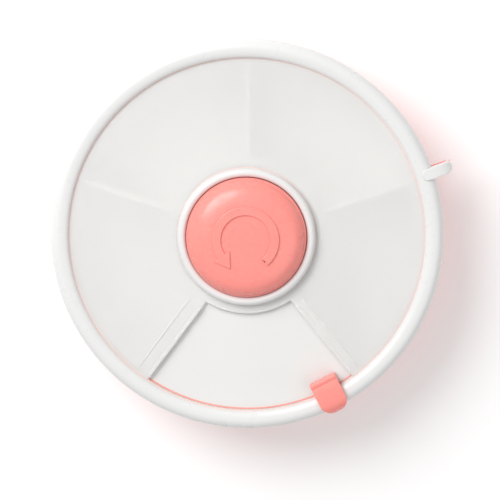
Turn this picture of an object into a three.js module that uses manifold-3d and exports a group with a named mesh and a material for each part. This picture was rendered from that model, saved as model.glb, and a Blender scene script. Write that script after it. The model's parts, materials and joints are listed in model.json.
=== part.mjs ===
// A round five-compartment dispenser: a fixed frosted lid, a sliding sector door and a push button that
// turns the tray one compartment at a time. Millimetres, +Z up. It lies on its back: the origin is the centre
// of the flat underside, the tray's axis is the Z axis, and +Y is the lid's "twelve o'clock".
import * as THREE from "three";
import { mergeVertices } from "three/addons/utils/BufferGeometryUtils.js";
import Module from "manifold-3d";

const wasm = await Module();
wasm.setup();

const DEG = Math.PI / 180;
const FIT = 0.3; // gap left between pieces that touch in the real object

// ---- driving dimensions ----
const COMPARTMENTS = 5;
const PITCH = 360 / COMPARTMENTS; // degrees from one compartment to the next
const FIRST_RIB = 90; // degrees from +X to the divider at twelve o'clock
const RIM_R = 76; // widest radius of the lid's rounded rim
const LIP_R = 69; // inner edge of the rim, where the window starts to show
const COLLAR_R = 26.6; // outside of the collar round the button
const BUTTON_R = 22.95; // button skirt
const BUTTON_STROKE = 5;
const STEP_ANGLE = PITCH; // the sleeve turns this far in one stroke

// heights, from the table upwards
const FLOOR_T = 2.4; // base floor
const HUB_Z = 5.5; // underside of the tray's hub flange
const TRAY_FLOOR_Z = 6.8; // inside bottom of a compartment
const TRAY_TOP_Z = 30.6;
const BASE_SHOULDER_Z = 27.2; // where the lid's skirt meets the base
const SKIRT_Z = 27.6; // lower edge of the lid's skirt
const BASE_LIP_Z = 30.8;
const DOOR_Z = 31.8;
const DOOR_T = 1.4;
const WINDOW_Z = 33.6;
const WINDOW_T = 1.6;
const LIP_Z = 35.5; // underside of the rim's inner lip
const CROWN_Z = 37.4; // top of the rim
const COLLAR_TOP_Z = 39.1;
const BUTTON_TOP_Z = 45.8;
const WINDOW_TOP_Z = WINDOW_Z + WINDOW_T;
const SEAL_Z = 32.8; // underside of the two seals that the window rests on
const SEAL_IN_R = LIP_R - 0.5; // the seal shows as a fine line inside the rim
const RIB_H = 0.5; // ribs on the window, beside its opening

// pivot and detent on the base's floor
const POST_R = 6;
const POST_TOP_Z = 11.8;
const POST_BASE_Z = FLOOR_T + FIT;
const DETENT_SCREW_RADII = [22, 26]; // along +Y, under the first divider

// tray
const WELL_R = 28.6; // inside of the tray's middle well
const TRAY_R = 68.4; // at its top
const DIVIDER_T = 2;

// opening in the window, and the door below it; angles from +X
const OPENING_FROM = -90 - 36.5;
const OPENING_TO = -90 + 39.2;
const OPENING_INSET = 2.8; // each straight edge stands this far inside its radial line
const OPENING_IN_R = 30.4;
const OPENING_OUT_R = 68.4;
const DOOR_OVERLAP = 1; // degrees that the door reaches past each radial line of the opening
const DOOR_OUT_R = 68.2;
const TAB_ANGLE = -62.2;
const TAB_IN_R = 63;
const TAB_STEM_R = 67.4; // outside of the stem that passes through the opening
const TAB_OUT_R = 77.5;
const TAB_WIDTH = 10.9;

// strap loop: the front half is on the lid, the narrower rear half on the base
const LOOP_ANGLE = 19.3;
const LOOP_ROOT_R = 71.4; // the front half lies on the rim from here
const LOOP_TIP_R = 83.6;
const LOOP_HOLE_R = 81.9;
const LOOP_WIDTH = 4.4;
const LOOP_REAR_WIDTH = 3.2;
const LOOP_HOLE_LOW_Z = 26;
const LOOP_HOLE_HIGH_Z = 32.8;

// drive: plunger, helical sleeve and face clutch
const CUP_FLOOR_Z = 18.6;
const CUP_FLOOR_T = 1.6;
const CUP_R = 24.6;
const CUP_BORE_R = 23.3;
const GUIDE_TOP_Z = 26.2; // top of the slotted guide that keeps the plunger from turning
const SLEEVE_R = 8.2;
const SLEEVE_BORE_R = 4.5;
const SLEEVE_TOP_Z = 33;
const GROOVE_DEPTH = 1.3;
const GROOVE_HALF_HEIGHT = 1.5;
const LUGS = 3;
const LUG_R = 1.05;
const LUG_Z = 25.8; // at rest
const PLUNGER_IN_R = 8.6;
const PLUNGER_OUT_R = 10.2;
const PLUNGER_DISC_Z = 38.9;
const CLUTCH_TEETH = 10;
const CLUTCH_H = 2;
const CLUTCH_IN_R = 7;
const CLUTCH_OUT_R = 10.8;
const CLUTCH_UP_Z = 10.4; // root of the teeth on the tray's hub
const CLUTCH_DOWN_Z = 14.8; // root of the teeth on the sleeve
const CAP_Z = 15.2; // underside of the cap that closes the cup from below
const CAP_SCREWS = 3;
const CAP_SCREW_R = 18.5; // radius of their circle

// round resolution
const WIDE = 48;
const MEDIUM = 32;
const SMALL = 12;

// ---- solids ----

// A closed three.js geometry as a manifold-3d solid with its faces pointing out.
function solid(geometry) {
  const open = geometry.index ? geometry.toNonIndexed() : geometry.clone();
  for (const extra of ["normal", "uv"]) open.deleteAttribute(extra);
  const merged = mergeVertices(open, 1e-4);
  const index = merged.index.array;
  const whole = [];
  for (let i = 0; i < index.length; i += 3) {
    const [a, b, c] = [index[i], index[i + 1], index[i + 2]];
    if (a !== b && b !== c && c !== a) whole.push(a, b, c);
  }
  const vertProperties = merged.attributes.position.array;
  const build = (corners) => {
    const triVerts = new Uint32Array(corners);
    return new wasm.Manifold(new wasm.Mesh({ numProp: 3, vertProperties, triVerts }));
  };
  const made = build(whole);
  if (made.volume() > 0) return made;
  for (let i = 0; i < whole.length; i += 3) {
    [whole[i + 1], whole[i + 2]] = [whole[i + 2], whole[i + 1]];
  }
  return build(whole);
}

function geometryOf(made) {
  const { numProp, numVert, vertProperties, triVerts } = made.getMesh();
  const position = new Float32Array(numVert * 3);
  for (let i = 0; i < numVert; i++) {
    position.set(vertProperties.subarray(i * numProp, i * numProp + 3), i * 3);
  }
  const geometry = new THREE.BufferGeometry();
  geometry.setAttribute("position", new THREE.BufferAttribute(position, 3));
  geometry.setIndex(new THREE.BufferAttribute(new Uint32Array(triVerts), 1));
  geometry.computeVertexNormals();
  return geometry;
}

// A profile of [radius, height] points turned about Z. A ring's profile is closed by its first point.
function turned(profile, segments = WIDE, ring = true) {
  const points = profile.map(([r, z]) => new THREE.Vector2(r, z));
  if (ring) points.push(points[0].clone());
  return solid(new THREE.LatheGeometry(points, segments).rotateX(Math.PI / 2));
}

function tube(rIn, rOut, zLow, zHigh, segments = WIDE) {
  return turned([[rIn, zLow], [rOut, zLow], [rOut, zHigh], [rIn, zHigh]], segments);
}

function rod(r, zLow, zHigh, segments = SMALL) {
  return turned([[0, zLow], [r, zLow], [r, zHigh], [0, zHigh]], segments, false);
}

function raised(shape, zLow, zHigh, curveSegments = 12) {
  const settings = { depth: zHigh - zLow, bevelEnabled: false, curveSegments };
  return solid(new THREE.ExtrudeGeometry(shape, settings).translate(0, 0, zLow));
}

// An outline of [radius, height] points given a thickness across the radius, at an angle from +X.
function radialPlate(outline, width, angle) {
  const shape = new THREE.Shape(outline.map(([r, z]) => new THREE.Vector2(r, z)));
  const plate = new THREE.ExtrudeGeometry(shape, { depth: width, bevelEnabled: false });
  return solid(plate.translate(0, 0, -width / 2).rotateX(Math.PI / 2).rotateZ(angle * DEG));
}

// A tall prism for trimming tabs and loops. Its plan is a bar along the radius with a round outer end, and a
// round inner end too where both is true.
function roundEnded(rIn, rOut, width, angle, both = false) {
  const endR = width / 2;
  const plan = new THREE.Shape();
  plan.absarc(rOut - endR, 0, endR, -Math.PI / 2, Math.PI / 2, false);
  if (both) {
    plan.absarc(rIn + endR, 0, endR, Math.PI / 2, 1.5 * Math.PI, false);
  } else {
    plan.lineTo(rIn, endR);
    plan.lineTo(rIn, -endR);
  }
  return raised(plan, 0, 60).rotate([0, 0, angle]);
}

function block(size, centre, angle = 0) {
  return solid(new THREE.BoxGeometry(...size).translate(...centre).rotateZ(angle * DEG));
}

// The plan outline between two radial lines, each edge moved inwards by inset.
function sectorShape(from, to, rIn, rOut, inset = 0) {
  const swing = (r) => Math.asin(inset / r);
  const shape = new THREE.Shape();
  shape.absarc(0, 0, rOut, from * DEG + swing(rOut), to * DEG - swing(rOut), false);
  shape.absarc(0, 0, rIn, to * DEG - swing(rIn), from * DEG + swing(rIn), true);
  return shape;
}

// A bar along a radial line of the opening, standing outside its edge by gap.
function edgeBar(angle, side, gap, width, height) {
  const [rIn, rOut, zLow] = [33, 66.5, WINDOW_Z + 0.2];
  const zHigh = WINDOW_TOP_Z + height;
  const across = side * (gap + width / 2 - OPENING_INSET);
  return block([rOut - rIn, width, zHigh - zLow], [(rIn + rOut) / 2, across, (zLow + zHigh) / 2], angle);
}

// A band that climbs round Z: over its whole run it turns by turn from the angle from, and rises by rise.
function helicalBand(rIn, rOut, halfHeight, zFrom, rise, from, turn, steps = 10) {
  const corners = [];
  for (let i = 0; i <= steps; i++) {
    const angle = (from + (turn * i) / steps) * DEG;
    const z = zFrom + (rise * i) / steps;
    for (const [r, dz] of [[rIn, -halfHeight], [rOut, -halfHeight], [rOut, halfHeight], [rIn, halfHeight]]) {
      corners.push(r * Math.cos(angle), r * Math.sin(angle), z + dz);
    }
  }
  const index = [0, 1, 2, 0, 2, 3];
  for (let i = 0; i < steps; i++) {
    for (let k = 0; k < 4; k++) {
      const [a, b] = [4 * i + k, 4 * i + ((k + 1) % 4)];
      index.push(a, a + 4, b + 4, a, b + 4, b);
    }
  }
  const last = 4 * steps;
  index.push(last, last + 2, last + 1, last, last + 3, last + 2);
  const geometry = new THREE.BufferGeometry();
  geometry.setAttribute("position", new THREE.Float32BufferAttribute(corners, 3));
  geometry.setIndex(index);
  return solid(geometry);
}

// Saw teeth on a ring, pointing up from rootZ or down from it.
function faceTeeth(rootZ, up) {
  const chord = 2 * CLUTCH_OUT_R * Math.tan(Math.PI / CLUTCH_TEETH);
  const sign = up ? 1 : -1;
  const bury = -0.4 * sign; // the teeth start inside their ring
  let teeth = null;
  for (let i = 0; i < CLUTCH_TEETH; i++) {
    const ramp = new THREE.Shape([
      new THREE.Vector2(-chord / 2, bury),
      new THREE.Vector2(chord / 2, bury),
      new THREE.Vector2(chord / 2, sign * CLUTCH_H),
      new THREE.Vector2(-chord / 2, 0),
    ]);
    const wedge = new THREE.ExtrudeGeometry(ramp, { depth: CLUTCH_OUT_R + 1, bevelEnabled: false });
    wedge.rotateX(Math.PI / 2).translate(0, CLUTCH_OUT_R + 1, rootZ);
    wedge.rotateZ((i * 2 * Math.PI) / CLUTCH_TEETH);
    const tooth = solid(wedge);
    teeth = teeth ? teeth.add(tooth) : tooth;
  }
  const bottom = up ? rootZ - 1 : rootZ - CLUTCH_H - 1;
  return teeth.intersect(tube(CLUTCH_IN_R, CLUTCH_OUT_R, bottom, bottom + CLUTCH_H + 2, MEDIUM));
}

class Coil extends THREE.Curve {
  constructor(radius, zLow, zHigh, turns) {
    super();
    Object.assign(this, { radius, zLow, zHigh, turns });
  }

  getPoint(t, target = new THREE.Vector3()) {
    const angle = 2 * Math.PI * this.turns * t;
    const z = this.zLow + (this.zHigh - this.zLow) * t;
    return target.set(this.radius * Math.cos(angle), this.radius * Math.sin(angle), z);
  }
}

// ---- materials ----

const plastic = (color, roughness) => new THREE.MeshStandardMaterial({ color, roughness, metalness: 0 });
const coral = plastic(0xff9a92, 0.28);
const white = plastic(0xf7f7f5, 0.3);
const acetal = plastic(0xf0efe9, 0.45);
const rubber = plastic(0xf79088, 0.6);
const silicone = plastic(0xe9e7e2, 0.6);
const steel = new THREE.MeshStandardMaterial({ color: 0xc4c6c8, roughness: 0.3, metalness: 1 });
const frosted = plastic(0xefeee9, 0.4);
frosted.transparent = true;
frosted.opacity = 0.6;

function piece(name, made, material) {
  const mesh = new THREE.Mesh(geometryOf(made), material);
  mesh.name = name;
  return mesh;
}

// A screw standing head down at the origin: the head hangs below z = 0 and the shank stands up from it.
function screwSolid(headR, headH, shankR, shankL) {
  const profile = [[0, -headH], [headR * 0.8, -headH], [headR, -headH * 0.6], [headR, 0]];
  profile.push([shankR, 0], [shankR, shankL], [0, shankL]);
  return turned(profile, SMALL, false);
}

// ---- base ----

function baseShell() {
  const wall = [
    [0, 0], [58, 0], [62.6, 0.9], [66.6, 3.4], [69.2, 7.4], [71.6, 15.5], [73.9, BASE_SHOULDER_Z],
    [71.6, BASE_SHOULDER_Z], [71.6, BASE_LIP_Z], [69.6, BASE_LIP_Z],
    [69.4, 26], [67.4, 15.5], [65.2, 8.6], [62, 4], [56.8, FLOOR_T], [0, FLOOR_T],
  ];
  const loop = [
    [71.8, 23.2], [80.4, 23.2], [82, 23.6], [83, 24.6], [83.3, 26], [83.3, BASE_SHOULDER_Z],
    [LOOP_HOLE_R, BASE_SHOULDER_Z], [LOOP_HOLE_R, LOOP_HOLE_LOW_Z], [71.8, LOOP_HOLE_LOW_Z],
  ];
  const hole = rod(1.5, 0.9, FLOOR_T + 1);
  const loopHalf = radialPlate(loop, LOOP_REAR_WIDTH, LOOP_ANGLE);
  let made = turned(wall, WIDE, false).add(loopHalf).subtract(hole);
  for (const r of DETENT_SCREW_RADII) {
    made = made.subtract(rod(1.1, 1, FLOOR_T + 1, 12).translate([0, r, 0]));
  }
  return made;
}

function pivotPost() {
  const headSeat = POST_TOP_Z - 3.8;
  return turned([
    [1.5, POST_BASE_Z], [10.4, POST_BASE_Z], [10.4, 4.3], [POST_R, 4.3], [POST_R, POST_TOP_Z - 0.5],
    [POST_R - 0.5, POST_TOP_Z], [3.2, POST_TOP_Z], [3.2, headSeat], [1.5, headSeat],
  ], MEDIUM);
}

function detentArm() {
  const strip = [
    [12.4, 3.6], [17.6, 3.6], [19, 3.2], [27.6, 3.2], [27.6, 2.7], [18.8, 2.7], [17.4, 3.1], [12.4, 3.1],
  ];
  const nose = [[13.4, 3.4], [14.2, 4.7], [15, 5.2], [16, 5.2], [16.8, 4.7], [17.4, 3.4]];
  let arm = radialPlate(strip, 5, FIRST_RIB).add(radialPlate(nose, 1.2, FIRST_RIB));
  for (const r of DETENT_SCREW_RADII) arm = arm.subtract(rod(1.1, 2, 4, 12).translate([0, r, 0]));
  return arm;
}

// ---- tray ----

function trayBowl() {
  const skin = [
    [WELL_R, TRAY_TOP_Z], [WELL_R + 0.3, 8.7], [12.4, 8.7], [12.4, 7.1], [29.3, 7.1], [31.5, 5.6], [36, 5.1],
    [56.5, 5.1], [61.9, 7], [65.2, 11.9], [TRAY_R, TRAY_TOP_Z],
  ];
  const above = TRAY_TOP_Z + 1;
  const channel = turned([
    [WELL_R + 1.7, above], [31.1, 12.4], [32.8, 8.8], [36.6, TRAY_FLOOR_Z], [55.9, TRAY_FLOOR_Z],
    [60.3, 8.6], [63.4, 12.6], [TRAY_R - 1.6, above],
  ]);
  let bowl = turned(skin);
  for (let i = 0; i < COMPARTMENTS; i++) {
    const rib = FIRST_RIB + i * PITCH;
    const plan = sectorShape(rib, rib + PITCH, 10, TRAY_R + 2, DIVIDER_T / 2);
    bowl = bowl.subtract(channel.intersect(raised(plan, 5, above, 24)));
  }
  return bowl;
}

function trayHub() {
  let hub = turned([
    [POST_R + 0.4, HUB_Z], [20, HUB_Z], [20, TRAY_FLOOR_Z], [12.1, TRAY_FLOOR_Z], [12.1, CLUTCH_UP_Z],
    [POST_R + 0.4, CLUTCH_UP_Z],
  ], MEDIUM).add(faceTeeth(CLUTCH_UP_Z, true));
  for (let i = 0; i < COMPARTMENTS; i++) {
    hub = hub.subtract(block([6.5, 1.8, 1.2], [15.5, 0, HUB_Z], FIRST_RIB + i * PITCH));
  }
  return hub;
}

// ---- lid ----

function lidRing() {
  const bead = [
    [75.2, SKIRT_Z], [75.8, 29.4], [RIM_R, 31.5], [75.8, 33.6], [75.1, 35.5], [73.9, 36.8],
    [72.3, CROWN_Z], [71, 37.1], [69.8, 36.4], [LIP_R, LIP_Z + 0.3], [LIP_R, LIP_Z],
    [71.2, LIP_Z], [71.2, 34], [72.3, 34], [72.3, SKIRT_Z],
  ];
  const loop = [
    [73, LOOP_HOLE_HIGH_Z], [LOOP_HOLE_R, LOOP_HOLE_HIGH_Z], [LOOP_HOLE_R, SKIRT_Z],
    [LOOP_TIP_R, SKIRT_Z], [LOOP_TIP_R, 33], [82.8, 34.9], [81, 36.3], [78, 37.3], [74.5, CROWN_Z + 0.4],
    [LOOP_ROOT_R - 1, CROWN_Z + 0.5], [LOOP_ROOT_R - 1, 36.4],
  ];
  const plan = roundEnded(LOOP_ROOT_R, LOOP_TIP_R + 0.3, LOOP_WIDTH, LOOP_ANGLE, true);
  return turned(bead).add(radialPlate(loop, LOOP_WIDTH + 1, LOOP_ANGLE).intersect(plan));
}

function windowPlate() {
  const opening = sectorShape(OPENING_FROM, OPENING_TO, OPENING_IN_R, OPENING_OUT_R, OPENING_INSET);
  const plate = tube(CUP_R + FIT, 70.9, WINDOW_Z, WINDOW_TOP_Z).subtract(raised(opening, 30, 40, 24));
  const ribs = [
    edgeBar(OPENING_FROM, -1, 0, 1.4, RIB_H),
    edgeBar(OPENING_FROM, -1, 5.6, 0.9, RIB_H - 0.1),
    edgeBar(OPENING_TO, 1, 0, 1.4, RIB_H),
    edgeBar(OPENING_TO, 1, 3.5, 0.9, RIB_H - 0.1),
  ];
  return ribs.reduce((whole, rib) => whole.add(rib), plate);
}

function hubCollar() {
  const floorTop = CUP_FLOOR_Z + CUP_FLOOR_T;
  let cup = turned([
    [10.6, CUP_FLOOR_Z], [CUP_R, CUP_FLOOR_Z], [CUP_R, LIP_Z], [COLLAR_R, LIP_Z], [COLLAR_R, 37.6],
    [26.1, 38.6], [25.2, COLLAR_TOP_Z], [24.2, 38.9], [23.5, 38.1], [CUP_BORE_R, 37],
    [CUP_BORE_R, floorTop], [12.8, floorTop], [12.8, GUIDE_TOP_Z], [10.6, GUIDE_TOP_Z],
  ], MEDIUM);
  for (let i = 0; i < LUGS; i++) {
    cup = cup.subtract(block([3.4, 3, 10], [10.3, 0, CUP_FLOOR_Z + 4], (i * 360) / LUGS));
  }
  for (const [x, y] of screwCircle()) cup = cup.subtract(rod(1.2, 17, 22, 12).translate([x, y, 0]));
  return cup;
}

function screwCircle() {
  const places = [];
  for (let i = 0; i < CAP_SCREWS; i++) {
    const angle = ((i * 360) / CAP_SCREWS + 60) * DEG;
    places.push([CAP_SCREW_R * Math.cos(angle), CAP_SCREW_R * Math.sin(angle)]);
  }
  return places;
}

function clampRing() {
  return turned([
    [CUP_R + FIT, 30.7], [28.2, 30.7], [28.2, 31.5],
    [27, 31.5], [27, SEAL_Z - FIT], [CUP_R + FIT, SEAL_Z - FIT],
  ], MEDIUM);
}

function housingCap() {
  let cap = turned([
    [11.1, CAP_Z], [22.4, CAP_Z], [22.4, CUP_FLOOR_Z - FIT], [14, CUP_FLOOR_Z - FIT], [14, CAP_Z + 1.4],
    [11.1, CAP_Z + 1.4],
  ], MEDIUM);
  for (const [x, y] of screwCircle()) cap = cap.subtract(rod(1.2, 14, 20, 12).translate([x, y, 0]));
  return cap;
}

// ---- door ----

function doorPanel() {
  const plan = sectorShape(OPENING_FROM - DOOR_OVERLAP, OPENING_TO + DOOR_OVERLAP, 28.6, DOOR_OUT_R);
  const leaf = raised(plan, DOOR_Z, DOOR_Z + DOOR_T, 24);
  return leaf.add(tube(27.3, 29.6, DOOR_Z, DOOR_Z + DOOR_T));
}

function doorTab() {
  const foot = DOOR_Z + DOOR_T + FIT;
  const section = [
    [TAB_IN_R, foot], [TAB_STEM_R, foot], [TAB_STEM_R, 36.9], [69.4, 37.2], [70.8, 37.8],
    [72.4, 38], [74.2, 37.5], [75.7, 36], [76.4, 34.3], [76.5, 33.6], [TAB_OUT_R, 33.6], [TAB_OUT_R, 34.8],
    [77, 36.7], [75.7, 38.4], [73.5, 39.5], [70.6, 39.8], [67, 39.4], [64.6, 38.8], [64.3, 39.2],
    [TAB_IN_R, 39.1],
  ];
  const plan = roundEnded(TAB_IN_R - 1, TAB_OUT_R + 0.3, TAB_WIDTH, TAB_ANGLE);
  return radialPlate(section, TAB_WIDTH + 1, TAB_ANGLE).intersect(plan);
}

// ---- button and drive ----

function buttonCap() {
  return turned([
    [0, BUTTON_TOP_Z], [8, 45.6], [14, 45.1], [18.2, 44.1], [20.6, 42.7], [21.9, 41], [22.2, 39.9],
    [BUTTON_R, 39.5], [BUTTON_R, 34.6], [21.2, 34.6], [21.2, 40.6], [19.6, 42], [16, 43.1], [3.6, 43.7],
    [3.6, PLUNGER_DISC_Z + 1.5], [1.4, PLUNGER_DISC_Z + 1.5], [1.4, 43.9], [0, 43.9],
  ], MEDIUM, false);
}

function plunger() {
  const discTop = PLUNGER_DISC_Z + 1.2;
  let made = turned([
    [PLUNGER_IN_R, 24], [PLUNGER_OUT_R, 24], [PLUNGER_OUT_R, PLUNGER_DISC_Z], [19, PLUNGER_DISC_Z],
    [19, discTop], [1.4, discTop], [1.4, PLUNGER_DISC_Z], [PLUNGER_IN_R, PLUNGER_DISC_Z],
  ], MEDIUM);
  for (let i = 0; i < LUGS; i++) {
    const angle = (i * 360) / LUGS;
    const lug = new THREE.CylinderGeometry(LUG_R, LUG_R, 2, 12);
    lug.rotateZ(Math.PI / 2).translate(PLUNGER_IN_R - 0.5, 0, LUG_Z).rotateZ(angle * DEG);
    made = made.add(solid(lug)).add(block([1.6, 2.4, 13], [10.8, 0, 30.5], angle));
  }
  return made;
}

function driveSleeve() {
  const sleeve = turned([
    [SLEEVE_BORE_R, CLUTCH_DOWN_Z], [CLUTCH_OUT_R, CLUTCH_DOWN_Z], [CLUTCH_OUT_R, 16.9], [13.2, 16.9],
    [13.2, 18.3], [SLEEVE_R, 18.3], [SLEEVE_R, SLEEVE_TOP_Z], [SLEEVE_BORE_R, SLEEVE_TOP_Z],
  ], MEDIUM).add(faceTeeth(CLUTCH_DOWN_Z, false));
  const perMm = STEP_ANGLE / BUTTON_STROKE;
  const overrun = 0.85; // groove past each end of the lug's travel
  const drop = BUTTON_STROKE + 2 * overrun;
  const bottomR = SLEEVE_R - GROOVE_DEPTH;
  let made = sleeve;
  for (let i = 0; i < LUGS; i++) {
    const from = (i * 360) / LUGS + overrun * perMm;
    const groove = [bottomR, SLEEVE_R + 1, GROOVE_HALF_HEIGHT, LUG_Z + overrun, -drop, from, -drop * perMm];
    made = made.subtract(helicalBand(...groove));
  }
  return made;
}

function buttonSpring() {
  const wire = new THREE.Shape().absarc(0, 0, 0.65, 0, 2 * Math.PI);
  const path = new Coil(15.5, CUP_FLOOR_Z + CUP_FLOOR_T + 1, PLUNGER_DISC_Z - 1, 4);
  const settings = { steps: 64, curveSegments: 3, bevelEnabled: false, extrudePath: path };
  return solid(new THREE.ExtrudeGeometry(wire, settings));
}

// ---- assembly ----

function baseGroup() {
  const group = new THREE.Group();
  group.add(piece("base_shell", baseShell(), coral));
  group.add(piece("pivot_post", pivotPost(), acetal));
  group.add(piece("thrust_washer", tube(POST_R + 0.4, 10, 4.6, 5.2, MEDIUM), acetal));
  group.add(piece("detent_arm", detentArm(), steel));
  const pivotScrew = piece("pivot_screw", screwSolid(2.8, 2, 1.2, 7), steel);
  pivotScrew.rotation.x = Math.PI;
  pivotScrew.position.z = 8.3;
  group.add(pivotScrew);
  DETENT_SCREW_RADII.forEach((r, i) => {
    const screw = piece(`detent_screw_${i + 1}`, screwSolid(1.8, 1.2, 0.8, 2.3), steel);
    screw.rotation.x = Math.PI;
    screw.position.set(0, r, 3.5);
    group.add(screw);
  });
  return group;
}

function trayGroup() {
  const group = new THREE.Group();
  group.add(piece("tray", trayBowl(), frosted));
  group.add(piece("tray_hub", trayHub(), acetal));
  return group;
}

function lidGroup() {
  const group = new THREE.Group();
  group.add(piece("lid_ring", lidRing(), white));
  group.add(piece("window", windowPlate(), frosted));
  group.add(piece("window_seal", tube(SEAL_IN_R, 70.9, SEAL_Z, WINDOW_Z - FIT), rubber));
  group.add(piece("window_retainer", tube(69.3, 72, 31.9, SEAL_Z - FIT), white));
  group.add(piece("lid_gasket", tube(69.9, 71.4, BASE_LIP_Z + FIT, 31.6), silicone));
  group.add(piece("hub_collar", hubCollar(), white));
  group.add(piece("collar_seal", tube(CUP_R + FIT, 27, SEAL_Z, WINDOW_Z - FIT), rubber));
  group.add(piece("clamp_ring", clampRing(), white));
  group.add(piece("housing_cap", housingCap(), white));
  screwCircle().forEach(([x, y], i) => {
    const screw = piece(`cap_screw_${i + 1}`, screwSolid(2, 1.2, 0.9, 4.8), steel);
    screw.position.set(x, y, CAP_Z - FIT);
    group.add(screw);
  });
  return group;
}

function doorGroup() {
  const group = new THREE.Group();
  group.add(piece("door_panel", doorPanel(), frosted));
  group.add(piece("door_tab", doorTab(), coral));
  return group;
}

function buttonGroup() {
  const group = new THREE.Group();
  group.add(piece("button_cap", buttonCap(), coral));
  group.add(piece("plunger", plunger(), acetal));
  const screw = piece("plunger_screw", screwSolid(2.6, 1.6, 1.1, 4.6), steel);
  screw.position.z = PLUNGER_DISC_Z - FIT;
  group.add(screw);
  group.add(piece("button_spring", buttonSpring(), steel));
  group.add(piece("drive_sleeve", driveSleeve(), acetal));
  return group;
}

const dispenser = new THREE.Group();
dispenser.add(baseGroup(), trayGroup(), lidGroup(), doorGroup(), buttonGroup());

export default dispenser;
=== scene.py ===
"""A round five-compartment dispenser: frosted lid with a sliding door, turning tray and coral push button."""

import json
import math

import bmesh
import bpy
from mathutils import Matrix, Vector


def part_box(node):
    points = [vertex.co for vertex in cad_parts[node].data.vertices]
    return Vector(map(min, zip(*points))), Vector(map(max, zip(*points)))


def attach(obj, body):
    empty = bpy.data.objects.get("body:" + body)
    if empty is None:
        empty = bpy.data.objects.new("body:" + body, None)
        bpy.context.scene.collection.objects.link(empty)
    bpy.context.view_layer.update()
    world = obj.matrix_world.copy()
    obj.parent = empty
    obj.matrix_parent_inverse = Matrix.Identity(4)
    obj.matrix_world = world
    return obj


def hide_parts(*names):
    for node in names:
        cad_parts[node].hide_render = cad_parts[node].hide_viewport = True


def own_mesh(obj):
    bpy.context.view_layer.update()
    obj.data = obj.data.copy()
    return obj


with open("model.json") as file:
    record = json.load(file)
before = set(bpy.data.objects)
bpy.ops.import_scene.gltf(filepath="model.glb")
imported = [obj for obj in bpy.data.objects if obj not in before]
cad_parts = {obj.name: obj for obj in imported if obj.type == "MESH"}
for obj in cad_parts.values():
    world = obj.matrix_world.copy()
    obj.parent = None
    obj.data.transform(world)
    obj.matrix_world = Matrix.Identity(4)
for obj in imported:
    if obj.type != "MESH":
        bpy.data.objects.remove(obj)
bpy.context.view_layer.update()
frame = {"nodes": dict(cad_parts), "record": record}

MM = 0.001
SEGMENTS = 192  # round one full turn

# ---- sizes in millimetres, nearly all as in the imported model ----
BASE_SHOULDER_Z = 27.2
BASE_LIP_Z = 30.8
SKIRT_Z = 27.6  # lower edge of the lid's skirt
RIM_R = 76
CROWN_Z = 37.4
LIP_R = 69
LIP_Z = 35.5
SEAL_IN_R = LIP_R - 0.6
WINDOW_R = 70.9
WINDOW_BORE_R = 24.9
TRAY_TOP_Z = 30.6
WELL_R = 28.6
TRAY_R = 68.4
DIVIDER_T = 2
COMPARTMENTS = 5
FIRST_RIB = 90
DOOR_Z = 31.8
DOOR_T = 1.4
WINDOW_Z = 33.6
WINDOW_TOP_Z = 35.2
SEAL_Z = 32.8
COLLAR_R = 26.6
LUGS = 3  # on the plunger, each in a slot of the collar's guide
OPENING_FROM = -126.5
OPENING_TO = -50.8
OPENING_INSET = 2.8
OPENING_IN_R = 30.4
OPENING_OUT_R = 68.4
TAB_ANGLE = -62.2
LOOP_ANGLE = 19.3
LOOP_ROOT_R = 71.4
LOOP_TIP_R = 83.6
LOOP_HOLE_R = 81.9
LOOP_WIDTH = 4.4
LOOP_REAR_WIDTH = 3.2
TAB_IN_R = 63
TAB_OUT_R = 77.5
TAB_WIDTH = 10.9
TAB_STEM_R = 67.4
DOOR_OUT_R = 68.2


# ---- outlines ----


def smooth(points, steps=6):
    """A curve through all the points, as a denser list of points."""
    ends = [points[0], *points, points[-1]]
    dense = []
    for i in range(len(points) - 1):
        p0, p1, p2, p3 = (Vector(p) for p in ends[i : i + 4])
        for k in range(steps):
            t = k / steps
            a = -p0 + 3 * p1 - 3 * p2 + p3
            b = 2 * p0 - 5 * p1 + 4 * p2 - p3
            dense.append(tuple(0.5 * (2 * p1 + (p2 - p0) * t + b * t * t + a * t * t * t)))
    return [*dense, tuple(points[-1])]


def arc(radius, start, stop, steps):
    """Points on a circle about the axis, from one angle to another, in degrees."""
    found = []
    for i in range(steps + 1):
        angle = math.radians(start + (stop - start) * i / steps)
        found.append((radius * math.cos(angle), radius * math.sin(angle)))
    return found


def sector(start, stop, inner, outer, inset=0, steps=40):
    """A sector's outline, each straight edge moved inwards by inset."""
    near = math.degrees(math.asin(inset / inner))
    far = math.degrees(math.asin(inset / outer))
    return [
        *arc(outer, start + far, stop - far, steps),
        *arc(inner, stop - near, start + near, steps),
    ]


def rectangle(x0, y0, x1, y1):
    """A rectangle's outline, from two opposite corners."""
    return [(x0, y0), (x1, y0), (x1, y1), (x0, y1)]


# ---- meshes ----


def new_object(name, bm):
    """A smooth-shaded object from a bmesh in millimetres."""
    bmesh.ops.recalc_face_normals(bm, faces=bm.faces)
    for face in bm.faces:
        face.smooth = True
    mesh = bpy.data.meshes.new(name)
    bm.transform(Matrix.Scale(MM, 4))
    bm.to_mesh(mesh)
    bm.free()
    made = bpy.data.objects.new(name, mesh)
    bpy.context.scene.collection.objects.link(made)
    return made


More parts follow.
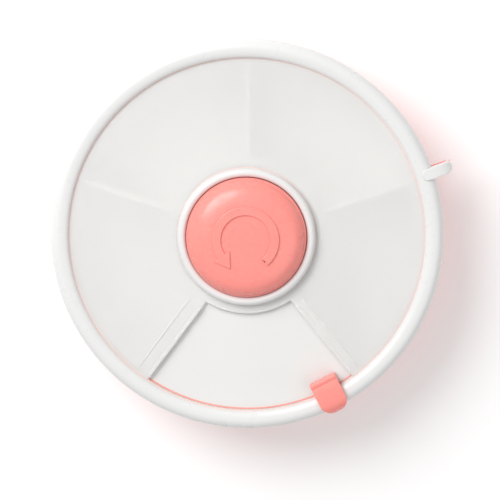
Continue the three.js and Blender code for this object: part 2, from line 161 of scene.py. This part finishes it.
def turned(name, profile, ring=True, segments=SEGMENTS):
    """A profile of (radius, height) points turned about Z. A ring's profile closes on itself."""
    bm = bmesh.new()
    rows = []
    for r, z in profile:
        if r < 1e-6:
            rows.append([bm.verts.new((0, 0, z))] * segments)
            continue
        row = [bm.verts.new((x, y, z)) for x, y in arc(r, 0, 360, segments)[:-1]]
        rows.append(row)
    pairs = list(zip(rows, rows[1:]))
    if ring:
        pairs.append((rows[-1], rows[0]))
    for low, high in pairs:
        for i in range(segments):
            j = (i + 1) % segments
            corners = list(dict.fromkeys([low[i], low[j], high[j], high[i]]))
            if len(corners) > 2:
                bm.faces.new(corners)
    return new_object(name, bm)


def join_rows(bm, rows):
    """Adds faces between neighbouring closed rows of points, and closes both ends."""
    count = len(rows[0])
    for low, high in zip(rows, rows[1:]):
        for i in range(count):
            j = (i + 1) % count
            bm.faces.new([low[i], low[j], high[j], high[i]])
    bm.faces.new(rows[0])
    bm.faces.new(rows[-1][::-1])


def rotated(made, angle, axis="Z"):
    """Turns an object's mesh about an axis through the origin, by an angle in degrees."""
    made.data.transform(Matrix.Rotation(math.radians(angle), 4, axis))
    return made


def plate(name, outline, holes, low, high):
    """A flat plate with holes, between two heights."""
    bm = bmesh.new()
    for loop in [outline, *holes]:
        corners = [bm.verts.new((x, y, low)) for x, y in loop]
        for a, b in zip(corners, corners[1:] + corners[:1]):
            bm.edges.new((a, b))
    bmesh.ops.triangle_fill(bm, use_beauty=True, edges=bm.edges[:])
    raised = bmesh.ops.extrude_face_region(bm, geom=bm.faces[:])
    top = [v for v in raised["geom"] if isinstance(v, bmesh.types.BMVert)]
    bmesh.ops.translate(bm, verts=top, vec=(0, 0, high - low))
    return new_object(name, bm)


def radial_plate(name, outline, width, angle):
    """An outline of (radius, height) points with a thickness across the radius, at an angle from +X."""
    made = plate(name, outline, [], -width / 2, width / 2)
    return rotated(rotated(made, 90, "X"), angle)


def round_ended(inner, outer, width, angle, both=False):
    """A tall prism for trimming: in plan a bar along the radius, with its outer end or both ends round."""
    half = width / 2
    outer_end = [(outer - half + x, y) for x, y in arc(half, -90, 90, 24)]
    inner_end = [(inner, half), (inner, -half)]
    if both:
        inner_end = [(inner + half + x, y) for x, y in arc(half, 90, 270, 24)]
    return rotated(plate("trim", [*outer_end, *inner_end], [], 0, 60), angle)


def partial_turn(name, profile, start, stop, half_wall, steps=48):
    """A closed profile turned from one divider to the next.

    Each end is parallel to its divider's middle plane and half_wall from it.
    """
    bm = bmesh.new()
    rows = []
    for i in range(steps + 1):
        row = []
        for r, z in profile:
            margin = math.degrees(math.asin(half_wall / r))
            angle = math.radians(start + margin + (stop - start - 2 * margin) * i / steps)
            row.append(bm.verts.new((r * math.cos(angle), r * math.sin(angle), z)))
        rows.append(row)
    join_rows(bm, rows)
    return new_object(name, bm)


def apply_modifiers(made):
    """Bakes an object's modifiers into its mesh."""
    graph = bpy.context.evaluated_depsgraph_get()
    mesh = bpy.data.meshes.new_from_object(made.evaluated_get(graph))
    made.modifiers.clear()
    made.data = mesh
    for face in mesh.polygons:
        face.use_smooth = True
    return made


def cut(made, cutter, operation="DIFFERENCE"):
    """Takes the cutter out of an object, or keeps only what is inside it, and removes the cutter."""
    modifier = made.modifiers.new("cut", "BOOLEAN")
    modifier.operation = operation
    modifier.solver = "EXACT"
    modifier.object = cutter
    apply_modifiers(made)
    bpy.data.objects.remove(cutter)
    return made


def bevelled(made, width, segments=3, angle=35):
    """Rounds an object's sharp edges."""
    modifier = made.modifiers.new("edges", "BEVEL")
    modifier.width = width * MM
    modifier.segments = segments
    modifier.limit_method = "ANGLE"
    modifier.angle_limit = math.radians(angle)
    modifier.harden_normals = True
    return made


def moulded(made, voxel=0.22, rounds=6):
    """Remeshes an object and softens it, so that every edge is rounded as in a small moulding."""
    remesh = made.modifiers.new("remesh", "REMESH")
    remesh.mode = "VOXEL"
    remesh.voxel_size = voxel * MM
    soften = made.modifiers.new("soften", "SMOOTH")
    soften.factor = 0.5
    soften.iterations = rounds
    return apply_modifiers(made)


# ---- materials ----


def shader(name, roughness, **sockets):
    """A material with one Principled shader, whose plain sockets are set by name."""
    material = bpy.data.materials.new(name)
    material.use_nodes = True
    nodes = material.node_tree.nodes
    surface = next(n for n in nodes if n.type == "BSDF_PRINCIPLED")
    surface.inputs["Roughness"].default_value = roughness
    for key, value in sockets.items():
        surface.inputs[key.replace("_", " ")].default_value = value
    return material, surface


def noise(material, scale, detail=3):
    """A noise texture in the object's own coordinates, per metre."""
    nodes, links = material.node_tree.nodes, material.node_tree.links
    place = nodes.new("ShaderNodeTexCoord")
    texture = nodes.new("ShaderNodeTexNoise")
    texture.inputs["Scale"].default_value = scale
    texture.inputs["Detail"].default_value = detail
    links.new(place.outputs["Object"], texture.inputs["Vector"])
    return texture.outputs["Fac"]


def spread(material, value, low, high, start=0.3, stop=0.7):
    """A value from start to stop, mapped onto low to high."""
    nodes, links = material.node_tree.nodes, material.node_tree.links
    ranged = nodes.new("ShaderNodeMapRange")
    links.new(value, ranged.inputs["Value"])
    sizes = {"From Min": start, "From Max": stop, "To Min": low, "To Max": high}
    for key, size in sizes.items():
        ranged.inputs[key].default_value = size
    return ranged.outputs["Result"]


def tint(material, value, low, high):
    """Two colours blended by a value from 0 to 1."""
    nodes, links = material.node_tree.nodes, material.node_tree.links
    mix = nodes.new("ShaderNodeMix")
    mix.data_type = "RGBA"
    links.new(value, mix.inputs["Factor"])
    mix.inputs["A"].default_value = (*low, 1)
    mix.inputs["B"].default_value = (*high, 1)
    return mix.outputs["Result"]


def bump(material, surface, value, depth):
    """A height in millimetres, from a value of 0 to 1, added to whatever bump the shader already has."""
    nodes, links = material.node_tree.nodes, material.node_tree.links
    node = nodes.new("ShaderNodeBump")
    node.inputs["Strength"].default_value = 1
    node.inputs["Distance"].default_value = depth * MM
    links.new(value, node.inputs["Height"])
    socket = surface.inputs["Normal"]
    if socket.links:
        links.new(socket.links[0].from_socket, node.inputs["Normal"])
    links.new(node.outputs["Normal"], socket)


def moulded_plastic(name, light, dark, smoothness, grain=0.003, glow=0.0):
    """Injection-moulded plastic: slow colour drift, uneven gloss, fine orange peel and paler worn edges.

    Glow is how much light spreads through the plastic near its surface.
    """
    material, surface = shader(name, smoothness, IOR=1.5)
    surface.inputs["Subsurface Weight"].default_value = glow
    surface.inputs["Subsurface Radius"].default_value = (1, 0.35, 0.25)
    surface.inputs["Subsurface Scale"].default_value = 1.5 * MM
    nodes, links = material.node_tree.nodes, material.node_tree.links
    drift = spread(material, noise(material, 28, 2), 0, 1)
    body = tint(material, drift, light, dark)
    geometry = nodes.new("ShaderNodeNewGeometry")
    worn = spread(material, geometry.outputs["Pointiness"], 0, 0.25, 0.56, 0.68)
    edge = nodes.new("ShaderNodeMix")
    edge.data_type = "RGBA"
    links.new(worn, edge.inputs["Factor"])
    links.new(body, edge.inputs["A"])
    edge.inputs["B"].default_value = (*[0.6 * c + 0.4 for c in light], 1)
    links.new(edge.outputs["Result"], surface.inputs["Base Color"])
    gloss = spread(material, noise(material, 210, 4), smoothness * 0.8, smoothness * 1.3)
    links.new(gloss, surface.inputs["Roughness"])
    bump(material, surface, noise(material, 420, 2), grain)
    return material


def frosted_plastic(name, colour, roughness, clearness):
    """Translucent plastic with a fine frost, which blurs what is behind it."""
    material, surface = shader(name, roughness, IOR=1.25, Transmission_Weight=clearness)
    links = material.node_tree.links
    drift = spread(material, noise(material, 22, 2), 0, 1)
    links.new(tint(material, drift, colour, [0.97 * c for c in colour]), surface.inputs["Base Color"])
    frost = spread(material, noise(material, 900, 4), roughness * 0.85, roughness * 1.2)
    links.new(frost, surface.inputs["Roughness"])
    bump(material, surface, noise(material, 2600, 3), 0.006)
    return material


def turned_steel(name):
    """Plain steel with fine tool marks."""
    material, surface = shader(name, 0.3, Metallic=1.0)
    links = material.node_tree.links
    drift = spread(material, noise(material, 300, 4), 0, 1)
    links.new(tint(material, drift, (0.62, 0.63, 0.64), (0.5, 0.51, 0.52)), surface.inputs["Base Color"])
    links.new(spread(material, noise(material, 1500, 4), 0.22, 0.42), surface.inputs["Roughness"])
    bump(material, surface, noise(material, 3000, 2), 0.004)
    return material


CORAL = moulded_plastic("coral_plastic", (1.0, 0.31, 0.272), (0.985, 0.3, 0.26), 0.28, glow=0.3)
WHITE = moulded_plastic("white_plastic", (0.765, 0.765, 0.76), (0.75, 0.75, 0.745), 0.3)
INNER_WHITE = moulded_plastic("inner_white_plastic", (0.86, 0.855, 0.84), (0.82, 0.815, 0.8), 0.4)
SEAL = moulded_plastic("coral_rubber", (0.95, 0.42, 0.36), (0.92, 0.38, 0.32), 0.6, 0.01)
SEAL_EDGE = moulded_plastic("coral_seal_edge", (0.9, 0.68, 0.62), (0.88, 0.64, 0.58), 0.6, 0.01)
SILICONE = moulded_plastic("clear_silicone", (0.8, 0.79, 0.76), (0.75, 0.74, 0.71), 0.55, 0.01)
FROSTED = frosted_plastic("frosted_plastic", (0.985, 0.98, 0.965), 0.5, 0.38)
FROSTED_DOOR = frosted_plastic("frosted_door_plastic", (0.93, 0.925, 0.91), 0.5, 0.2)
FROSTED_UNDERSIDE = frosted_plastic("frosted_plastic_underside", (0.99, 0.99, 0.985), 0.5, 1)
TRAY = moulded_plastic("tray_plastic", (0.96, 0.955, 0.935), (0.94, 0.935, 0.915), 0.35)
STEEL = turned_steel("steel")

FINISHES = {
    "coral": CORAL,
    "white": WHITE,
    "acetal": INNER_WHITE,
    "coral_rubber": SEAL,
    "silicone": SILICONE,
    "frosted": FROSTED,
    "steel": STEEL,
}


def settle(made, body, slot, material, *nodes):
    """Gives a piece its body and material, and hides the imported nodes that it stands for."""
    made.data.materials.clear()
    made.data.materials.append(material)
    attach(made, body)
    if nodes:
        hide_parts(*nodes)
    return made


def settle_frosted(made, body, skin, *nodes):
    """As settle, for a see-through plate: the milky skin is on top and the underside is clearer."""
    settle(made, body, "frosted", skin, *nodes)
    made.data.materials.append(FROSTED_UNDERSIDE)
    for face in made.data.polygons:
        face.material_index = 1 if face.normal.z < -0.5 else 0
    return made


# ---- base ----


def base_shell():
    outer = smooth([
        (58, 0), (62.6, 0.9), (66.6, 3.4), (69.2, 7.4), (71.6, 15.5), (73.9, BASE_SHOULDER_Z),
    ])
    inner = smooth([(69.6, BASE_LIP_Z), (69.4, 26), (67.4, 15.5), (65.2, 8.6), (62, 4), (56.8, 2.4)])
    foot = [(0, 0.5), (50, 0.5), (50.6, 0.4), (51.2, 0)]
    lip = [(71.6, BASE_SHOULDER_Z), (71.6, BASE_LIP_Z)]
    made = turned("base_bowl", [*foot, *outer, *lip, *inner, (0, 2.4)], ring=False)
    return settle(bevelled(made, 0.3), "base", "coral", CORAL, "base_shell")


def loop_rear():
    outline = [
        *smooth([(72.9, 23.2), (80.4, 23.2), (82, 23.6), (83, 24.6), (83.3, 26), (83.3, BASE_SHOULDER_Z)]),
        (LOOP_HOLE_R, BASE_SHOULDER_Z),
        (LOOP_HOLE_R, 26),
        (72.9, 26),
    ]
    made = moulded(radial_plate("strap_loop_rear", outline, LOOP_REAR_WIDTH, LOOP_ANGLE))
    return settle(made, "base", "coral", CORAL)


# ---- tray ----


def tray_bowl():
    skin = [
        (WELL_R, TRAY_TOP_Z), (WELL_R + 0.3, 8.7), (12.4, 8.7), (12.4, 7.1), (29.3, 7.1),
        *smooth([(31.5, 5.6), (36, 5.1), (56.5, 5.1), (61.9, 7), (65.2, 11.9), (TRAY_R, TRAY_TOP_Z)]),
    ]
    made = turned("tray_bowl", skin, segments=120)
    above = TRAY_TOP_Z + 2
    hollow = [
        (WELL_R + 1.7, above),
        *smooth([(31.1, 12.4), (32.8, 8.8), (36.6, 6.8)]),
        *smooth([(55.9, 6.8), (60.3, 8.6), (63.4, 12.6)]),
        (TRAY_R - 1.6, above),
    ]
    pitch = 360 / COMPARTMENTS
    for i in range(COMPARTMENTS):
        rib = FIRST_RIB + i * pitch
        cut(made, partial_turn("hollow", hollow, rib, rib + pitch, DIVIDER_T / 2))
    return settle(bevelled(made, 0.35), "tray", "frosted", TRAY, "tray")


# ---- lid ----


def lid_rim():
    bead = smooth([
        (75.2, SKIRT_Z), (75.8, 29.4), (RIM_R, 31.5), (RIM_R, 33.6), (75.6, 35.3), (74.7, 36.6),
        (73.2, CROWN_Z - 0.1), (71.6, CROWN_Z - 0.1), (70.2, 36.9), (69.3, 36.3), (LIP_R, LIP_Z + 0.2),
    ])
    foot = WINDOW_TOP_Z + 0.02
    inner = [(LIP_R, foot), (71.2, foot), (71.2, 34), (72.3, 34), (72.3, SKIRT_Z)]
    made = turned("lid_rim", [*bead, *inner])
    return settle(bevelled(made, 0.15), "lid", "white", WHITE, "lid_ring")


def loop_front():
    over = smooth([
        (LOOP_TIP_R, SKIRT_Z), (LOOP_TIP_R, 33), (82.8, 34.9), (81, 36.3), (78, 37.3),
        (74.5, CROWN_Z + 0.4), (LOOP_ROOT_R - 1, CROWN_Z + 0.5),
    ])
    under = [(LOOP_ROOT_R - 1, 36.4), (73.6, 32.8), (LOOP_HOLE_R, 32.8), (LOOP_HOLE_R, SKIRT_Z)]
    made = radial_plate("strap_loop_front", [*over, *under], LOOP_WIDTH + 1, LOOP_ANGLE)
    cut(made, round_ended(LOOP_ROOT_R, LOOP_TIP_R, LOOP_WIDTH, LOOP_ANGLE, True), "INTERSECT")
    return settle(moulded(made), "lid", "white", WHITE)


def window_plate():
    opening = sector(OPENING_FROM, OPENING_TO, OPENING_IN_R, OPENING_OUT_R, OPENING_INSET)
    holes = [arc(WINDOW_BORE_R, 0, 360, SEGMENTS)[:-1], opening]
    made = plate("window_plate", arc(WINDOW_R, 0, 360, SEGMENTS)[:-1], holes, WINDOW_Z, WINDOW_TOP_Z)
    return settle_frosted(bevelled(made, 0.6, 4), "lid", FROSTED, "window")


def window_rib(name, angle, side, gap, width, height):
    """A raised rib on the window, along one straight edge of the opening and gap outside it."""
    inner, outer = 33, 66.5
    near = side * (gap - OPENING_INSET)
    outline = rectangle(inner, near, outer, near + side * width)
    made = rotated(plate(name, outline, [], WINDOW_TOP_Z - 0.2, WINDOW_TOP_Z + height), angle)
    return settle(bevelled(made, 0.3), "lid", "frosted", FROSTED)


def hub_collar():
    foot = WINDOW_TOP_Z + 0.02
    lip = smooth([
        (COLLAR_R, foot), (COLLAR_R, 37.6), (26.1, 38.6), (25.2, 39.1), (24.2, 38.9), (23.5, 38.1),
        (23.3, 37),
    ])
    cup = [
        (23.3, 20.2), (12.8, 20.2), (12.8, 26.2), (10.6, 26.2), (10.6, 18.6), (24.6, 18.6), (24.6, foot),
    ]
    made = turned("collar_cup", [*lip, *cup])
    for i in range(LUGS):
        slot = plate("slot", rectangle(8.6, -1.5, 12, 1.5), [], 17.6, 27.6)
        cut(made, rotated(slot, i * 360 / LUGS))
    return settle(bevelled(made, 0.15), "lid", "white", WHITE, "hub_collar")


def seal(name, inner, outer, low, high, material, *nodes):
    """A flat coral ring of the lid."""
    made = turned(name, [(inner, low), (outer, low), (outer, high), (inner, high)])
    return settle(bevelled(made, 0.08), "lid", "coral_rubber", material, *nodes)


# ---- door ----


def door_panel():
    start, stop = OPENING_FROM - 1, OPENING_TO + 1
    outline = [
        *arc(DOOR_OUT_R, start, stop, 60),
        *arc(29.6, stop, start + 360, 120),
    ]
    made = plate("door_leaf", outline, [arc(27.3, 0, 360, 120)[:-1]], DOOR_Z, DOOR_Z + DOOR_T)
    return settle_frosted(bevelled(made, 0.2), "door", FROSTED_DOOR, "door_panel")


def door_tab():
    over = smooth([
        (TAB_OUT_R, 33.6), (TAB_OUT_R, 34.8), (77, 36.7), (75.7, 38.4), (73.5, 39.5), (70.6, 39.8),
        (67, 39.4), (64.6, 38.8),
    ])
    under = smooth([
        (TAB_STEM_R, 36.9), (69.4, 37.2), (70.8, 37.8), (72.4, 38), (74.2, 37.5), (75.7, 36), (76.4, 34.3),
        (76.5, 33.6),
    ])
    foot = DOOR_Z + DOOR_T + 0.3
    section = [*over, (64.3, 39.2), (TAB_IN_R, 39.1), (TAB_IN_R, foot), (TAB_STEM_R, foot), *under]
    made = radial_plate("door_slider", section, TAB_WIDTH + 1, TAB_ANGLE)
    cut(made, round_ended(TAB_IN_R - 1, TAB_OUT_R, TAB_WIDTH, TAB_ANGLE), "INTERSECT")
    return settle(moulded(made), "door", "coral", CORAL, "door_tab")


# ---- button ----

DOME = smooth([(0, 45.8), (8, 45.6), (14, 45.1), (18.2, 44.1), (20.6, 42.7), (21.9, 41), (22.2, 39.9)])


def dome_height(radius):
    """Height of the button's top at a radius."""
    for (r0, z0), (r1, z1) in zip(DOME, DOME[1:]):
        if r0 <= radius <= r1:
            return z0 + (z1 - z0) * (radius - r0) / (r1 - r0)
    return DOME[-1][1]


def button_cap():
    lip = [(22.9, 39.4), (23.2, 38.9), (23.2, 37.9), (22.95, 37.4)]
    skirt = [*lip, (22.95, 34.6), (21.2, 34.6), (21.2, 40.6), (19.6, 42), (16, 43.1), (0, 43.9)]
    made = turned("button_dome", [*DOME, *skirt], ring=False)
    return settle(bevelled(made, 0.2), "button", "coral", CORAL, "button_cap")


def button_emblem():
    """An embossed turning arrow on the button's top."""
    start, stop, radius = -50, 215, 11.2
    half_width, head_half_width, head_length = 1.7, 3.8, 6
    end = math.radians(stop)
    along = Vector((-math.sin(end), math.cos(end)))
    out = Vector((math.cos(end), math.sin(end)))
    outline = [
        *arc(radius + half_width, start, stop, 60),
        tuple(out * (radius + head_half_width)),
        tuple(out * radius + along * head_length),
        tuple(out * (radius - head_half_width)),
        *arc(radius - half_width, stop, start, 60),
    ]
    made = plate("button_emblem", outline, [], -0.4, 0.7)
    for vertex in made.data.vertices:
        radius_here = math.hypot(vertex.co.x, vertex.co.y) / MM
        vertex.co.z += dome_height(radius_here) * MM
    return settle(bevelled(made, 0.35), "button", "coral", CORAL)


# ---- screws and spring ----


def cross_recess(made, arm, width, depth):
    """Cuts a cross into the face of a screw's head, which is at height 0 and points down."""
    for angle in (0, 90):
        slot = plate("recess", rectangle(-arm, -width / 2, arm, width / 2), [], -1, depth)
        cut(made, rotated(slot, angle))


def screw(node, body, head_down):
    """A pan-head screw with a cross recess, in the box of a packed screw."""
    low, high = (Vector(corner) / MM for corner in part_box(node))
    length = high.z - low.z
    head_r = (high.x - low.x) / 2
    head_h = length * 0.3
    crest_r = head_r * 0.42
    root_r = crest_r * 0.8
    rings = 6
    pitch = (length - head_h) / rings
    dome = [(0, 0), (head_r * 0.7, head_h * 0.12), (head_r * 0.94, head_h * 0.45), (head_r, head_h)]
    thread = []
    for i in range(rings):
        start = head_h + pitch * i
        thread += [(crest_r, start + 0.1 * pitch), (root_r, start + 0.6 * pitch)]
    made = turned(node + "_detail", [*smooth(dome, 5), *thread, (0, length)], ring=False, segments=48)
    cross_recess(made, head_r * 0.55, head_r * 0.22, head_h * 0.6)
    if not head_down:
        rotated(made, 180, "X")
    centre = (low + high) / 2
    foot = low.z if head_down else high.z
    made.data.transform(Matrix.Translation(Vector((centre.x, centre.y, foot)) * MM))
    return settle(bevelled(made, 0.06, 2), body, "steel", STEEL, node)


def button_spring():
    """The coil spring under the button, in the imported spring's box; it stays with the lid and keeps its
    length.
    """
    low, high = (Vector(corner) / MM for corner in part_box("button_spring"))
    wire_r, coil_r, turns = 0.65, 15.5, 4
    steps, sides = turns * 48, 12
    rise = high.z - low.z - 2 * wire_r
    bm = bmesh.new()
    rows = []
    for i in range(steps + 1):
        share = i / steps
        angle = math.radians(360 * turns * share)
        middle = low.z + wire_r + rise * share
        row = []
        for up, out in arc(wire_r, 0, 360, sides)[:-1]:
            reach = coil_r + out
            row.append(bm.verts.new((reach * math.cos(angle), reach * math.sin(angle), middle + up)))
        rows.append(row)
    join_rows(bm, rows)
    made = settle(new_object("coil_spring", bm), "lid", "steel", STEEL, "button_spring")
    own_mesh(made)
    return made


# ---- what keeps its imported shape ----


def finish_packed_nodes():
    slots = {s["node"]: s["material_slot"] for s in frame["record"]["subparts"]}
    for name, node in frame["nodes"].items():
        if node.hide_render:
            continue
        node.data.materials.clear()
        node.data.materials.append(FINISHES[slots[name]])
        for face in node.data.polygons:
            face.use_smooth = True
        split = node.modifiers.new("edges", "EDGE_SPLIT")
        split.split_angle = math.radians(35)


# ---- surroundings ----


def floor():
    half = 3000
    made = plate("floor", rectangle(-half, -half, half, half), [], -2, 0)
    material, surface = shader("floor_paper", 0.8)
    links = material.node_tree.links
    surface.inputs["Emission Color"].default_value = (1, 1, 1, 1)
    surface.inputs["Emission Strength"].default_value = 0.18
    drift = spread(material, noise(material, 3, 2), 0, 1)
    links.new(tint(material, drift, (0.83, 0.83, 0.83), (0.82, 0.82, 0.82)), surface.inputs["Base Color"])
    made.data.materials.append(material)


def area_light(name, place, target, size, power):
    data = bpy.data.lights.new(name, "AREA")
    data.shape = "DISK"
    data.size = size
    data.energy = power
    made = bpy.data.objects.new(name, data)
    made.location = place
    made.rotation_euler = (Vector(target) - Vector(place)).to_track_quat("-Z", "Y").to_euler()
    bpy.context.scene.collection.objects.link(made)


def studio():
    world = bpy.data.worlds.new("studio")
    world.use_nodes = True
    sky = world.node_tree.nodes["Background"]
    sky.inputs["Color"].default_value = (1, 1, 1, 1)
    sky.inputs["Strength"].default_value = 0.49
    bpy.context.scene.world = world
    area_light("key", (-0.55, 0.6, 0.9), (0, 0, 0.03), 0.8, 12)
    area_light("fill", (0.6, -0.35, 0.9), (0, 0, 0.03), 0.9, 2)
    bpy.context.scene.view_settings.view_transform = "Standard"


def camera():
    """A long lens, a little above the disc's axis and to its right."""
    distance, view_width = 0.95, 0.194
    aim = Vector((0.0012, -0.0059, 0.0315))
    up, right = math.radians(8.5), math.radians(2)
    back = Vector((math.sin(right), math.sin(up), math.cos(up))).normalized()
    data = bpy.data.cameras.new("camera")
    data.sensor_width = 36
    data.lens = data.sensor_width * distance / view_width
    data.clip_start = 0.05
    made = bpy.data.objects.new("camera", data)
    made.location = aim + back * distance
    side = Vector((0, 1, 0)).cross(back).normalized()
    made.matrix_world = Matrix.Translation(made.location) @ Matrix(
        (side, back.cross(side), back)
    ).transposed().to_4x4()
    bpy.context.scene.collection.objects.link(made)
    bpy.context.scene.camera = made


base_shell()
loop_rear()
tray_bowl()
lid_rim()
loop_front()
window_plate()
for edge, angle, side, far_gap in (("left", OPENING_FROM, -1, 5.6), ("right", OPENING_TO, 1, 3.5)):
    window_rib("window_rib_" + edge, angle, side, 0, 1.4, 0.3)
    window_rib("window_rib_far_" + edge, angle, side, far_gap, 0.9, 0.25)
hub_collar()
seal("seal_ring", SEAL_IN_R, WINDOW_R, SEAL_Z, WINDOW_Z - 0.3, SEAL, "window_seal")
seal("seal_lip", OPENING_OUT_R - 0.45, WINDOW_R, DOOR_Z + DOOR_T + 0.06, WINDOW_Z - 0.06, SEAL)
seal("seal_edge", LIP_R - 0.3, LIP_R + 0.2, WINDOW_TOP_Z, WINDOW_TOP_Z + 0.2, SEAL_EDGE)
seal("collar_seal_ring", WINDOW_BORE_R, 27, SEAL_Z, WINDOW_Z - 0.3, SEAL, "collar_seal")
seal("collar_seal_edge", COLLAR_R - 0.2, COLLAR_R + 0.25, WINDOW_TOP_Z, WINDOW_TOP_Z + 0.2, SEAL_EDGE)
door_panel()
door_tab()
button_cap()
button_emblem()
for screw_node in ("pivot_screw", "detent_screw_1", "detent_screw_2"):
    screw(screw_node, "base", head_down=False)
for screw_node in ("cap_screw_1", "cap_screw_2", "cap_screw_3"):
    screw(screw_node, "lid", head_down=True)
screw("plunger_screw", "button", head_down=True)
button_spring()
finish_packed_nodes()
floor()
studio()
camera()
